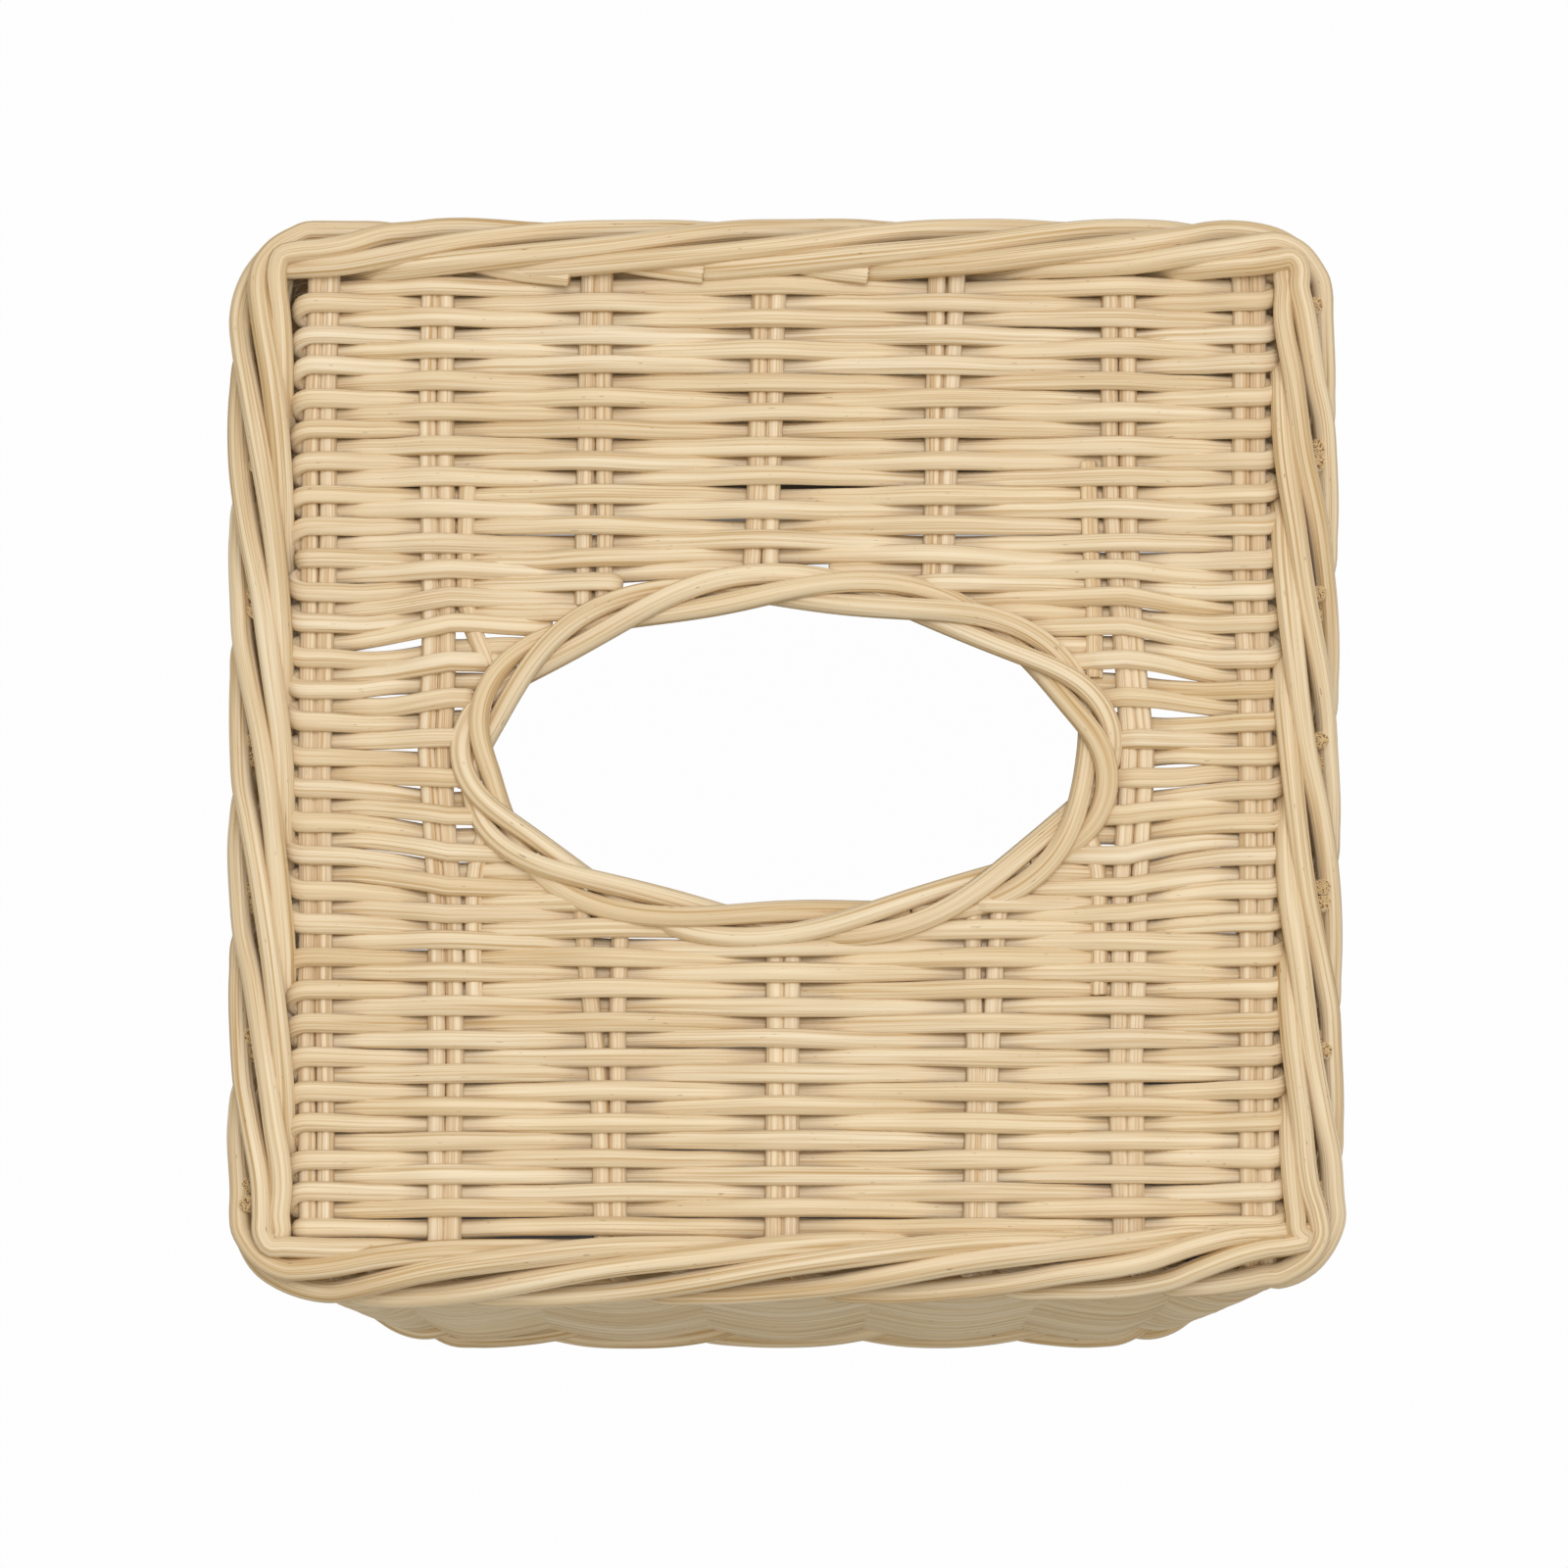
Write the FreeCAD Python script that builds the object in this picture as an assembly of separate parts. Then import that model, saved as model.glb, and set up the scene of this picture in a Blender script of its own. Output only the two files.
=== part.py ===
import FreeCAD, Part
import math
import os

# A square tissue box cover woven from round rattan cane.
# It is open at the bottom, and tissues come out through an oval slot in the top.
# Millimetres, +Z up, +Y to the back, origin on the floor at the middle of the base.

# Driving sizes
width = 145.0  # left to right, over the edge wale
depth = 141.0  # front to back, over the edge wale
height = 135.0  # floor to the highest cane of the top
corner_radius = 7.0  # of the line that the wall stakes stand on, seen from above
slot_length = 76.0  # clear opening inside the ring, left to right
slot_width = 39.5  # clear opening inside the ring, front to back
short_stake_length = 20.0  # the third stakes beside the ends of the slot

# Canes
stake_cane = 2.2
weaver_cane = 2.05
edge_cane = 2.2
ring_cane = 2.4
border_cane = 2.2

# Counts
stakes_per_side = 7  # pairs of stakes in each wall
wale_strands = 4  # canes in the edge wale, each over three stakes and behind one
ring_strands = 3
ring_lobes = 13  # strands met on one lap round the inside of the ring
ring_steps = 52  # straight runs in one lap of a ring strand

# Bends
stake_bend = 4.0  # where a stake turns down from the top into a wall
cane_bend = 3.0  # where a weaving cane passes a stake
corner_steps = 6  # straight runs of a weaving cane round one corner
bend_room = 0.45  # share of a straight run that the bend at one end of it may take up
wale_leave = 0.35  # share of a bay that a wale strand takes to leave the inside of the edge
wale_settle = 0.2  # share of a bay that a wale strand keeps above the stakes
wale_shift = 0.8  # share of a bay by which it has moved further in
border_slope = 0.25  # share of a bay in which a border strand leaves its stakes
close_share = 0.1  # share of a corner bay between two bends of a strand, at the least

# Ends and clearances
foot_cut = 0.4  # flat cut off the underside of the base border
stake_foot = 1.0  # lower end of the stakes above the floor
stake_stub = 1.0  # upper end of the side stakes above the line of the top stakes
seat = 0.05  # between canes that bear on each other
row_gap = 0.1  # between one row of weaving and the next
wale_seat = 0.15  # between the strands of the edge wale
ring_seat = 0.15  # between the strands of the ring
ring_gap = 0.3  # between the ring and the canes that end at it
splice_gap = 0.5  # between the two ends of a cane that meet

# Pairs of stakes and the weave over them
pair_half = stake_cane + seat / 2
stake_offset = (stake_cane + seat) / 2
flat = pair_half + seat
weave_lift = (stake_cane + weaver_cane) / 2 + seat
row_pitch = weaver_cane + row_gap

# Edge wale: where its strands lie outside, above and behind the stakes
wale_out = (stake_cane + edge_cane) / 2 + seat
wale_step = edge_cane + wale_seat
wale_reach = wale_out + wale_step + edge_cane / 2
wale_tuck = edge_cane / 5
wale_dip = edge_cane / 4
wale_drop = stake_bend + wale_out - edge_cane / 2 - stake_cane / 2 + wale_dip
top_z = height - stake_cane / 2 - seat - max(weaver_cane, edge_cane)

# The line of the wall stakes, seen from above
line_x = width / 2 - wale_out - edge_cane / 2
line_y = depth / 2 - wale_out - edge_cane / 2
straight_x = line_x - corner_radius
straight_y = line_y - corner_radius

# The top weave keeps clear of the wale, also in its rounded corners
corner_inset = (1 - math.cos(math.pi / 4)) * max(0, corner_radius - wale_reach)
field_edge = wale_reach + row_gap + corner_inset
turn_reach = pair_half + seat + weaver_cane

# Ring round the slot
ring_half_step = math.pi * ring_lobes / ring_strands / ring_steps
ring_twist = (ring_cane + ring_seat) / math.sqrt(3) / math.cos(ring_half_step)
ring_half = ring_twist + ring_cane / 2
oval_a = slot_length / 2 + 2 * ring_half + ring_gap
oval_b = slot_width / 2 + 2 * ring_half + ring_gap

# Columns of stakes across the top: one beside each end of the ring, the rest between,
# and one at each edge. Where an edge bay would be too narrow, the columns beside the ring are the edge ones.
edge_x = min(straight_x - flat, line_x - field_edge - turn_reach)
beside_x = oval_a + pair_half + seat
least_bay = 2 * flat + wale_reach  # its clear run is as long as the wale is deep
outer_columns = 1 if edge_x - beside_x > least_bay else 0
if not outer_columns:
    beside_x = edge_x
inner_columns = stakes_per_side - 2
inner_bay = 2 * beside_x / (inner_columns - 1)
columns = [k * inner_bay - beside_x for k in range(inner_columns)]
if outer_columns:
    columns = [-edge_x] + columns + [edge_x]
side_end = straight_y - flat
side_bay = 2 * side_end / (stakes_per_side - 1)
side_places = [k * side_bay - side_end for k in range(stakes_per_side)]

# Base border
border_out = (stake_cane + border_cane) / 2 + seat
border_rise = (border_cane + seat) / 2
border_z = border_rise + border_cane / 2 - foot_cut

vec = FreeCAD.Vector


def cane(points, diameter, bend):
    # A round cane along straight runs, with a tangent arc at each point between them.
    edges = []
    start = points[0]
    for before, point, after in zip(points, points[1:], points[2:]):
        back = before - point
        ahead = after - point
        half_turn = (math.pi - back.getAngle(ahead)) / 2
        if half_turn < 1e-4:
            continue
        room = bend_room * min(back.Length, ahead.Length)
        radius = min(bend, room / math.tan(half_turn))
        if radius < diameter / 2:
            print("tight bend:", round(radius, 3), "at", point)
        tangent = radius * math.tan(half_turn)
        back.normalize()
        ahead.normalize()
        inward = back + ahead
        inward.normalize()
        arc_start = point + back * tangent
        arc_middle = point + inward * (radius / math.cos(half_turn) - radius)
        arc_end = point + ahead * tangent
        edges.append(Part.LineSegment(start, arc_start).toShape())
        edges.append(Part.Arc(arc_start, arc_middle, arc_end).toShape())
        start = arc_end
    edges.append(Part.LineSegment(start, points[-1]).toShape())
    path = Part.Wire(edges)
    circle = Part.makeCircle(diameter / 2, points[0], points[1] - points[0])
    solid = path.makePipe(Part.Face(Part.Wire(circle)))
    expected = path.Length * math.pi * diameter ** 2 / 4
    if not solid.isValid() or abs(solid.Volume / expected - 1) > 1e-3:
        print("cane is wrong:", solid.isValid(), solid.Volume, expected)
    return solid


def save(name, solids):
    shape = solids[0] if len(solids) == 1 else Part.makeCompound(solids)
    shape.exportStep("parts/" + name + ".step")
    print(name, len(solids), "solids")


def oval_y(x):
    return oval_b * math.sqrt(max(0, 1 - (x / oval_a) ** 2))


def oval_x(y):
    return oval_a * math.sqrt(max(0, 1 - (y / oval_b) ** 2))


# The four walls in order: front, right, back, left.
# A place along a wall is u, from its left end seen from outside, and runs on round the corners.
wall_names = ["front", "right", "back", "left"]
wall_lines = [line_y, line_x, line_y, line_x]
wall_straights = [straight_x, straight_y, straight_x, straight_y]
wall_stations = [columns, side_places, columns, side_places]
half_corner = corner_radius * math.pi / 4


def plan(wall, u, out):
    # The point at u along a wall and the given distance outside the line of its stakes.
    straight = wall_straights[wall]
    beyond = max(0, abs(u) - straight)
    angle = beyond / corner_radius
    reach = corner_radius + out
    along = math.copysign(min(abs(u), straight) + reach * math.sin(angle), u)
    away = wall_lines[wall] - corner_radius + reach * math.cos(angle)
    turns = [(along, -away), (away, along), (-along, away), (-away, -along)]
    return turns[wall]


def wall_row(wall, phase):
    # One row of weaving across a wall, from the middle of one corner to the middle of the next.
    half_wall = wall_straights[wall] + half_corner
    stations = wall_stations[wall]
    weave = []
    for k, u in enumerate(stations):
        out = weave_lift * (-1) ** (k + phase)
        weave += [(u - flat, out), (u + flat, out)]
    steps = corner_steps // 2
    for end in (-1, 1):
        near, out = weave[-1] if end > 0 else weave[0]
        far = end * (half_wall - splice_gap / 2)
        first = end * max(abs(near), wall_straights[wall])
        for k in range(1, steps + 1):
            u = first + (far - first) * k / steps
            share = (u - near) / (end * half_wall - near)
            point = (u, out * (1 - share))
            weave = weave + [point] if end > 0 else [point] + weave
    points = [vec(*plan(wall, u, out), 0) for u, out in weave]
    return cane(points, weaver_cane, cane_bend)


def make_wall_weavers():
    low = border_z + border_rise + border_cane / 2 + row_gap + weaver_cane / 2
    high = top_z - wale_drop - edge_cane / 2 - row_gap - weaver_cane / 2
    count = int((high - low) / row_pitch) + 1
    for wall, name in enumerate(wall_names):
        pair = [wall_row(wall, phase) for phase in (0, 1)]
        stakes_before = sum(len(places) for places in wall_stations[:wall])
        rows = []
        for i in range(count):
            row = pair[(i + stakes_before) % 2].copy()
            row.translate(vec(0, 0, low + (high - low) * i / (count - 1)))
            rows.append(row)
        save(name + "_wall_weavers", rows)


def make_stakes():
    # Each column is a pair of canes up the back wall, over the top and down the front wall.
    # The slot cuts the columns that it lies on into a back length and a front length.
    for number, x in enumerate(columns, 1):
        whole = []
        halves = {"back": [], "front": []}
        for stake_x in (x - stake_offset, x + stake_offset):
            foot = [vec(stake_x, line_y, stake_foot), vec(stake_x, line_y, top_z)]
            far_foot = [vec(stake_x, -line_y, top_z), vec(stake_x, -line_y, stake_foot)]
            nearest = max(0, abs(stake_x) - stake_cane / 2)
            if nearest > oval_a:
                whole.append(cane(foot + far_foot, stake_cane, stake_bend))
                continue
            end_y = oval_y(nearest)
            halves["back"].append(cane(foot + [vec(stake_x, end_y, top_z)], stake_cane, stake_bend))
            halves["front"].append(cane([vec(stake_x, -end_y, top_z)] + far_foot, stake_cane, stake_bend))
        if whole:
            save("stake_column_%d" % number, whole)
        for side, solids in halves.items():
            if solids:
                save("stake_column_%d_%s" % (number, side), solids)
    # The side walls have pairs of their own, cut off in the edge wale.
    length = top_z + stake_stub - stake_foot
    for side, name in ((-1, "left"), (1, "right")):
        for number, y in enumerate(side_places, 1):
            pair = []
            for stake_y in (y - stake_offset, y + stake_offset):
                pair.append(Part.makeCylinder(stake_cane / 2, length, vec(side * line_x, stake_y, stake_foot)))
            save("%s_wall_stake_%d" % (name, number), pair)


# The short third stakes stand beside the columns next to the slot, on the slot's side
short_x = beside_x - pair_half - seat - stake_cane / 2
short_start = oval_y(short_x - stake_cane / 2)
short_end = short_start + short_stake_length


def make_short_stakes():
    for side, side_name in ((-1, "left"), (1, "right")):
        for way, way_name in ((-1, "front"), (1, "back")):
            start = vec(side * short_x, way * short_start, top_z)
            stake = Part.makeCylinder(stake_cane / 2, short_stake_length, start, vec(0, way, 0))
            save("short_stake_%s_%s" % (way_name, side_name), [stake])


def top_row(i, y):
    # Break points (x, height over the stakes) of row i of the top weave, from left to right.
    beside_short = short_start - row_pitch < abs(y) < short_end + row_pitch
    third = stake_cane + seat if beside_short else 0
    points = []
    for k, x in enumerate(columns):
        lift = weave_lift * (-1) ** (k + i)
        left = x - flat - (third if k == len(columns) - 1 - outer_columns else 0)
        right = x + flat + (third if k == outer_columns else 0)
        points += [(left, lift), (right, lift)]
    return points


def clip(points, low, high):
    # The break points between two places, with the heights there worked out.
    # A break point close to an end gives way to it, so that a bend there has room.
    close = weaver_cane

    def lift_at(x):
        for x0, z0 in points:
            if abs(x - x0) <= close:
                return z0
        for (x0, z0), (x1, z1) in zip(points, points[1:]):
            if x0 <= x <= x1:
                return z0 + (z1 - z0) * (x - x0) / (x1 - x0)
        return points[0][1] if x < points[0][0] else points[-1][1]
    inside = [p for p in points if low + close < p[0] < high - close]
    return [(low, lift_at(low))] + inside + [(high, lift_at(high))]


turn_x = edge_x + turn_reach - weaver_cane / 2


def woven(rows):
    # One weaver through several rows, each given as (row number, y, from x, to x).
    # Where one row leads to the next, the cane turns round the edge column.
    points = []
    for i, y, start, stop in rows:
        line = clip(top_row(i, y), min(start, stop), max(start, stop))
        if start > stop:
            line.reverse()
        points += [vec(x, y, top_z + lift) for x, lift in line]
    return cane(points, weaver_cane, cane_bend)


def make_top_weavers():
    far_y = line_y - field_edge - weaver_cane / 2
    count = int(2 * far_y / row_pitch) + 1
    rows = [(i, 2 * far_y * i / (count - 1) - far_y) for i in range(count)]
    clear_y = oval_b + weaver_cane / 2
    # In front of the slot and behind it each weaver goes across, turns round an edge column and comes back.
    for name, way in (("front", -1), ("back", 1)):
        field = [(i, y) for i, y in rows if way * y > clear_y]
        hairpins = []
        for first in range(0, len(field), 2):
            turn = turn_x * (-1) ** (first // 2)
            line = []
            for i, y in field[first:first + 2]:
                ends = (turn, -turn) if line else (-turn, turn)
                line.append((i, y) + ends)
            hairpins.append(woven(line))
        save("top_weavers_" + name, hairpins)
    # Beside the slot each weaver comes in from the ring, turns round the edge column and goes back.
    middle = [(i, y) for i, y in rows if abs(y) <= clear_y]
    for name, side in (("left", -1), ("right", 1)):
        hairpins = []
        for first in range(0, len(middle), 2):
            line = []
            for i, y in middle[first:first + 2]:
                ring_end = side * oval_x(max(0, abs(y) - weaver_cane / 2))
                ends = (side * turn_x, ring_end) if line else (ring_end, side * turn_x)
                line.append((i, y) + ends)
            hairpins.append(woven(line))
        save("top_weavers_" + name, hairpins)


def make_ring():
    turns = ring_lobes / ring_strands
    middle_a = slot_length / 2 + ring_half
    middle_b = slot_width / 2 + ring_half
    end_step = splice_gap / (2 * middle_b)
    for strand in range(ring_strands):
        points = []
        for step in range(ring_steps + 1):
            t = 2 * math.pi * step / ring_steps
            t = min(max(t, end_step), 2 * math.pi - end_step)
            twist = turns * t + 2 * math.pi * strand / ring_strands
            # The strand winds about the oval, square to it.
            normal = vec(middle_b * math.cos(t), middle_a * math.sin(t), 0)
            normal.normalize()
            centre = vec(middle_a * math.cos(t), middle_b * math.sin(t), top_z)
            points.append(centre + normal * (ring_twist * math.cos(twist)) + vec(0, 0, ring_twist * math.sin(twist)))
        save("slot_ring_strand_%d" % (strand + 1), [cane(points, ring_cane, cane_bend)])


# Stations: every pair of wall stakes in order round the cover, as (wall, u)
stations = [(wall, u) for wall in range(4) for u in wall_stations[wall]]


def between(station, share, out, z):
    # The point at a share of the clear run from one station to the next.
    wall, u = stations[station % len(stations)]
    next_wall, next_u = stations[(station + 1) % len(stations)]
    if next_wall == wall:
        place = u + flat + (next_u - u - 2 * flat) * share
        return vec(*plan(wall, place, out), z)
    # Round a corner: the run ends on one wall at its middle and starts again on the next.
    first = wall_straights[wall] + half_corner - u - flat
    second = next_u - flat + wall_straights[next_wall] + half_corner
    place = (first + second) * share
    if place <= first:
        return vec(*plan(wall, u + flat + place, out), z)
    return vec(*plan(next_wall, next_u - flat - (first + second - place), out), z)


def blend(keys, share):
    # A place (out, z) read off a list of (share, out, z).
    for (s0, out0, z0), (s1, out1, z1) in zip(keys, keys[1:]):
        if share <= s1:
            f = (share - s0) / (s1 - s0)
            return out0 + (out1 - out0) * f, z0 + (z1 - z0) * f
    return keys[-1][1:]


def strand_round(first_station, seats, routes, base_z):
    # A cane once round the cover. seats are its places (out, z) at the stakes that it meets in turn,
    # and routes are the places (share, out, z) that it passes on the way to the next stake.
    count = len(seats)
    points = []
    for step in range(len(stations)):
        station = first_station + step
        here = seats[step % count]
        there = seats[(step + 1) % count]
        keys = [(0, *here)] + routes[step % count] + [(1, *there)]
        wall = stations[station % len(stations)][0]
        turns_corner = stations[(station + 1) % len(stations)][0] != wall
        shares = {key[0] for key in keys}
        if turns_corner:
            even = [k / corner_steps for k in range(1, corner_steps)]
            shares |= {share for share in even if all(abs(share - key[0]) > close_share for key in keys)}
        for share in sorted(shares):
            out, z = blend(keys, share)
            points.append(between(station, share, out, base_z + z))
    # The cane starts and ends at the middle of the pair where it lies behind the stakes.
    wall, u = stations[first_station % len(stations)]
    out, z = seats[0]
    start, end = [vec(*plan(wall, u + side * splice_gap / 2, out), base_z + z) for side in (1, -1)]
    return [start] + points + [end]


def make_edge_wale():
    behind = (-wale_out - wale_tuck, -wale_drop)
    outside = (wale_out, -wale_drop + edge_cane / 2)
    above = (-wale_out, wale_out)
    further_in = (-wale_out - wale_step, wale_out)
    seats = [behind, outside, above, further_in]
    inward = [(wale_settle, *above), (wale_shift, *further_in)]
    down = [(wale_leave, further_in[0], -wale_dip)]
    routes = [[], [], inward, down]
    for strand in range(wale_strands):
        points = strand_round(strand, seats, routes, top_z)
        save("edge_wale_strand_%d" % (strand + 1), [cane(points, edge_cane, cane_bend)])


def make_base_border():
    seats = [(-border_out, 0), (border_out, 0)]
    half_out = border_out / 2
    arrive = 1 - border_slope
    under = [(border_slope, -half_out, -border_rise), (arrive, half_out, -border_rise)]
    over = [(border_slope, half_out, border_rise), (arrive, -half_out, border_rise)]
    floor = Part.makeBox(2 * width, 2 * depth, height, vec(-width, -depth, -height))
    for strand in range(2):
        points = strand_round(strand, seats, [under, over], border_z)
        save("base_border_strand_%d" % (strand + 1), [cane(points, border_cane, cane_bend).cut(floor).Solids[0]])


os.makedirs("parts", exist_ok=True)
make_stakes()
make_short_stakes()
make_top_weavers()
make_wall_weavers()
make_ring()
make_edge_wale()
make_base_border()
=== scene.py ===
import math
import bpy
import numpy as np
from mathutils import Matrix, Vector


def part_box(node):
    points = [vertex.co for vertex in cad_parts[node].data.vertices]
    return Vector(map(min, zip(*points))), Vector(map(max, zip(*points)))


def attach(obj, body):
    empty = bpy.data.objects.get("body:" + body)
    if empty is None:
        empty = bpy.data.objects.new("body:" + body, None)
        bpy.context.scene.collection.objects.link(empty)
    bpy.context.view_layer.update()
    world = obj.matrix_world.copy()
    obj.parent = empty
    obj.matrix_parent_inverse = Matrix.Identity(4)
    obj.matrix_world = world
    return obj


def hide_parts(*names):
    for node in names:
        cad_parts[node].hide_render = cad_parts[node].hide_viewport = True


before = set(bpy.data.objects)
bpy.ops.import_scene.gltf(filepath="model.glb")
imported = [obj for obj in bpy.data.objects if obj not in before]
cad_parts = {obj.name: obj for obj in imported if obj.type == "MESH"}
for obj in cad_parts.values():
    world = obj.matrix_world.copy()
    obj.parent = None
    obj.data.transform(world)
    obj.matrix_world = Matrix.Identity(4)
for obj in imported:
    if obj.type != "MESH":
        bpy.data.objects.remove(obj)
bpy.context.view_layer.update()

# Hand-woven rattan tissue box cover. Lengths are in millimetres until a mesh is made.
mm = 0.001
print("frame loaded:", len(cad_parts), "nodes")


def boxOf(node):
    low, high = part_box(node)
    return np.array(low) / mm, np.array(high) / mm


def middleOf(node):
    low, high = boxOf(node)
    return (low + high) / 2


# Places of the stakes, taken from the frame
perSide = 7
columnNodes = []
for number in range(1, perSide + 1):
    column = "stake_column_%d" % number
    columnNodes.append([column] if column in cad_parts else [column + "_back", column + "_front"])
columnX = np.array([middleOf(nodes[0])[0] for nodes in columnNodes])
sideY = np.array([middleOf("left_wall_stake_%d" % number)[1] for number in range(1, perSide + 1)])
lineX = middleOf("right_wall_stake_1")[0]
columnDepth = np.ptp(boxOf("stake_column_1"), axis=0)[1]
stakeThickness = np.ptp(boxOf("left_wall_stake_1"), axis=0)[0]
lineY = (columnDepth - stakeThickness) / 2
topZ = middleOf("short_stake_front_left")[2]

# What the weave is made of: the width of each kind of cane, how tall it is for its width, and how uneven
canes = {
    "weaver": {"width": 2.58, "flat": 0.76, "uneven": 0.035},
    "stake": {"width": 2.35, "flat": 0.9, "uneven": 0.02},
    "edge": {"width": 3.25, "flat": 0.88, "uneven": 0.045},
    "ring": {"width": 2.9, "flat": 0.95, "uneven": 0.045},
    "border": {"width": 2.6, "flat": 1.0, "uneven": 0.05},
}
# How a cane's section changes along it, what pressing does to it, and the shape of a cut end
caneForm = {"period": 55.0, "turnEvery": 30.0, "pressedUp": 0.6, "fibreSpace": 400.0, "toneSpread": 0.2}
cutEnd = {"narrower": 0.86, "out": 0.12, "tip": 0.03, "rough": (-0.06, 0.14)}
driftPeak = 1.4  # what the waves of a drift add up to where most of them meet


def wander(place, reach, period, rng):
    # a slow drift, the same at each run
    total = np.zeros_like(place, dtype=float)
    for share in (1.0, 0.6, 0.35):
        total += share * np.sin(2 * np.pi * place / (period * share) + rng.uniform(0, 2 * np.pi))
    return reach * total / driftPeak


def roundWander(place, whole, reach, turns, rng):
    # a drift that closes on itself after the whole length
    total = np.zeros_like(place, dtype=float)
    for share in (1, 2, 3):
        total += np.sin(2 * np.pi * turns * share * place / whole + rng.uniform(0, 2 * np.pi)) / share
    return reach * total / driftPeak


def smoothPath(points, step):
    # a curve through all the points, cut into even steps
    points = np.asarray(points, dtype=float)
    runs = np.linalg.norm(np.diff(points, axis=0), axis=1)
    knots = np.concatenate([[0], np.cumsum(runs)])
    slopes = np.gradient(points, knots, axis=0)
    places = np.linspace(0, knots[-1], max(2, int(knots[-1] / step) + 1))
    k = np.clip(np.searchsorted(knots, places, "right") - 1, 0, len(runs) - 1)
    t = ((places - knots[k]) / runs[k])[:, None]
    run = runs[k][:, None]
    ahead = t * t * (3 - 2 * t)
    bend = slopes[k] * t * (1 - t) ** 2 - slopes[k + 1] * t * t * (1 - t)
    return points[k] * (1 - ahead) + points[k + 1] * ahead + bend * run


def makeCane(path, kind, across, rng, sides=12, tint=None, press=None, start=None):
    # A round cane along a path. across is a direction that the path never takes.
    look = canes[kind]
    path = np.asarray(path, dtype=float)
    steps = np.linalg.norm(np.diff(path, axis=0), axis=1)
    along = np.concatenate([[0], np.cumsum(steps)])
    ahead = np.gradient(path, axis=0)
    ahead /= np.linalg.norm(ahead, axis=1)[:, None]
    up = np.cross(ahead, across)
    up /= np.linalg.norm(up, axis=1)[:, None]
    side = np.cross(up, ahead)
    angle = np.linspace(0, 2 * np.pi, sides, endpoint=False)
    radius = look["width"] / 2 * (1 + wander(along, look["uneven"], caneForm["period"], rng))
    turned = along[:, None] / caneForm["turnEvery"] + rng.uniform(0, 6)
    lobe = look["uneven"] * np.cos(2 * angle[None, :] + turned)
    reach = radius[:, None] * (1 + lobe)
    squeeze = np.zeros(len(path)) if press is None else press
    sideways = reach * np.cos(angle) * (1 - squeeze)[:, None]
    upwards = reach * np.sin(angle) * (look["flat"] * (1 + caneForm["pressedUp"] * squeeze))[:, None]
    rings = path[:, None, :] + sideways[..., None] * side[:, None, :] + upwards[..., None] * up[:, None, :]
    # each end is cut: a last ring drawn in a little, and a middle point
    caps = []
    for end, way in ((0, -1), (-1, 1)):
        rough = rng.uniform(*cutEnd["rough"], sides)[:, None] * ahead[end]
        drawnIn = path[end] + (rings[end] - path[end]) * cutEnd["narrower"]
        inset = drawnIn + ahead[end] * way * cutEnd["out"] + rough * way
        caps.append((inset, inset.mean(axis=0) + ahead[end] * way * cutEnd["tip"]))
    rings = np.concatenate([caps[0][0][None], rings, caps[1][0][None]])
    along = np.concatenate([[along[0]], along, [along[-1]]])
    count = len(rings)
    offset = rng.uniform(0, caneForm["fibreSpace"], 3)
    if start is not None:
        offset = np.array([start, 0, 0]) + offset
    space = np.empty((count, sides, 3))
    space[..., 0] = along[:, None]
    space[..., 1] = np.cos(angle) * look["width"] / 2
    space[..., 2] = np.sin(angle) * look["width"] / 2
    ends = [[along[0], 0, 0], [along[-1], 0, 0]]
    if tint is None:
        tone = np.full(count, rng.normal(0.5, caneForm["toneSpread"]))
    else:
        tone = np.concatenate([tint[:1], tint, tint[-1:]])
    cut = np.zeros(count)
    cut[[0, -1]] = 1
    return {
        "sides": sides,
        "along": along,
        "points": np.concatenate([rings.reshape(-1, 3), [caps[0][1], caps[1][1]]]),
        "space": np.concatenate([space.reshape(-1, 3), ends]) + offset,
        "tint": np.concatenate([np.repeat(tone, sides), tone[[0, -1]]]),
        "cut": np.concatenate([np.repeat(cut, sides), [1, 1]]),
    }


def caneFaces(cane):
    # corner numbers of the quads along a cane and of the triangles on its ends, and each quad's ring and side
    sides = cane["sides"]
    count = len(cane["along"])
    ring, side = np.meshgrid(np.arange(count - 1), np.arange(sides), indexing="ij")
    here = (ring * sides + side).ravel()
    there = (ring * sides + (side + 1) % sides).ravel()
    quads = np.stack([here, there, there + sides, here + sides], axis=1)
    turn = np.arange(sides)
    last = (count - 1) * sides
    first = np.stack([(turn + 1) % sides, turn, np.full(sides, count * sides)], axis=1)
    final = np.stack([last + turn, last + (turn + 1) % sides, np.full(sides, count * sides + 1)], axis=1)
    return quads, np.concatenate([first, final]), ring.ravel(), side.ravel()


# Unrolled canes: strips that lie beside each other in the unit square
unroll = {"girth": 8.0, "spare": 1.02, "usedLength": 0.97, "usedHeight": 0.92, "margin": 0.04,
          "lap": 0.0005, "tip": 0.002}


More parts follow.
